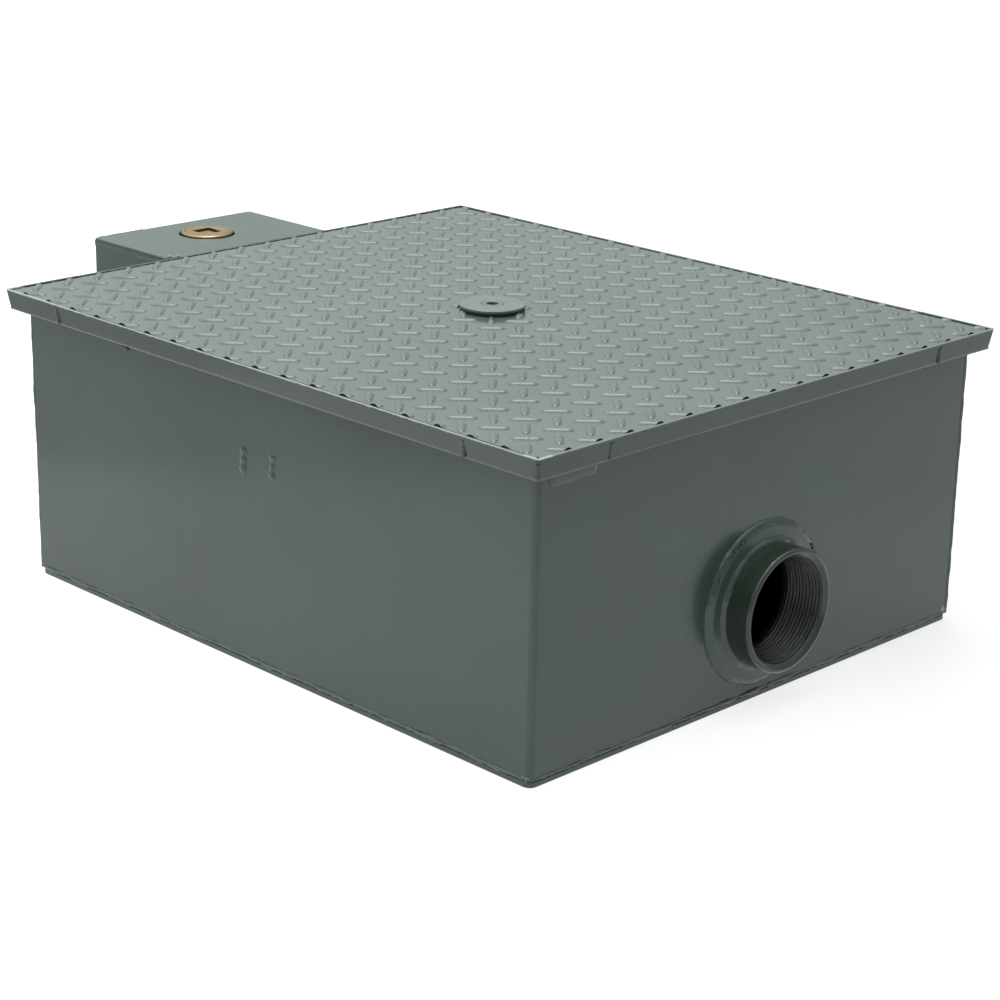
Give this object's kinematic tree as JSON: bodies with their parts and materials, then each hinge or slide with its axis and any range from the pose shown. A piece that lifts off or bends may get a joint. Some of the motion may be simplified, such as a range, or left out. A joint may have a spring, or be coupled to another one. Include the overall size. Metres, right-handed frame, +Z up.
{
  "type": "grease trap",
  "caption": "Welded steel grease trap: box tank with a bolted tread-plate cover in an angle rim, threaded inlet, lift-out baffles, and an outside trap box with cleanout plug and outlet.",
  "frame": {"origin": "centre of the tank's underside, without the trap box, on the surface that it stands on", "axes": "+X out of the inlet, -X towards the trap box and the outlet; +Z up; -Y towards the long side at the left of the picture"},
  "size_m": [0.8, 0.5414, 0.2625],
  "materials": {
    "tank_paint": "glossy grey-green epoxy",
    "cover_paint": "satin grey-green epoxy",
    "inside_paint": "satin grey-green epoxy",
    "black_rubber": "matt black",
    "plug_brass": "cast and turned, dulled",
    "bolt_zinc": "zinc plated"
  },
  "bodies": {
    "tank": {"tank_floor": "tank_paint", "wall_near_and_inlet": "tank_paint", "wall_far_and_outlet": "tank_paint", "rim_corner_near_inlet": "tank_paint", "rim_corner_far_inlet": "tank_paint", "rim_corner_far_outlet": "tank_paint", "rim_corner_near_outlet": "tank_paint", "rim_bar_inlet": "tank_paint", "rim_bar_outlet": "tank_paint", "rim_bar_near": "tank_paint", "rim_bar_far": "tank_paint", "cover_gasket": "black_rubber", "hold_down_bar": "inside_paint", "hold_down_nut": "bolt_zinc", "inlet_coupling": "tank_paint", "inlet_collar": "tank_paint", "outlet_coupling": "tank_paint", "outlet_collar": "tank_paint", "inlet_baffle": "inside_paint", "outlet_baffle": "inside_paint", "inlet_guide_near": "inside_paint", "inlet_guide_far": "inside_paint", "outlet_guide_near": "inside_paint", "outlet_guide_far": "inside_paint", "relief_nipple": "inside_paint", "trap_box_floor": "tank_paint", "trap_box_shell": "tank_paint", "trap_box_top": "tank_paint", "trap_weir": "inside_paint", "cleanout_ferrule": "inside_paint"},
    "cover": {"cover_plate": "cover_paint"},
    "seal": {"disc_seal": "black_rubber"},
    "bolt": {"cover_bolt": "bolt_zinc", "cover_disc": "cover_paint"},
    "plug": {"cleanout_plug": "plug_brass"}
  },
  "joints": [
    {"name": "cover_lift", "type": "slide", "parent": "tank", "child": "cover", "axis": [0, 0, 1], "range_m": [0, 0.2]},
    {"name": "bolt_rise", "type": "slide", "parent": "cover", "child": "seal", "axis": [0, 0, 1], "range_m": [0, 0.0347]},
    {"name": "bolt_turn", "type": "hinge", "parent": "seal", "child": "bolt", "pos_m": [0, 0, 0.258], "axis": [0, 0, 1], "range_deg": [0, 6408]},
    {"name": "plug_lift", "type": "slide", "parent": "tank", "child": "plug", "axis": [0, 0, 1], "range_m": [0, 0.08]}
  ],
  "couplings": [
    {"joint": "bolt_turn", "follows": "bolt_rise", "rad_per_m": 3215.8}
  ]
}
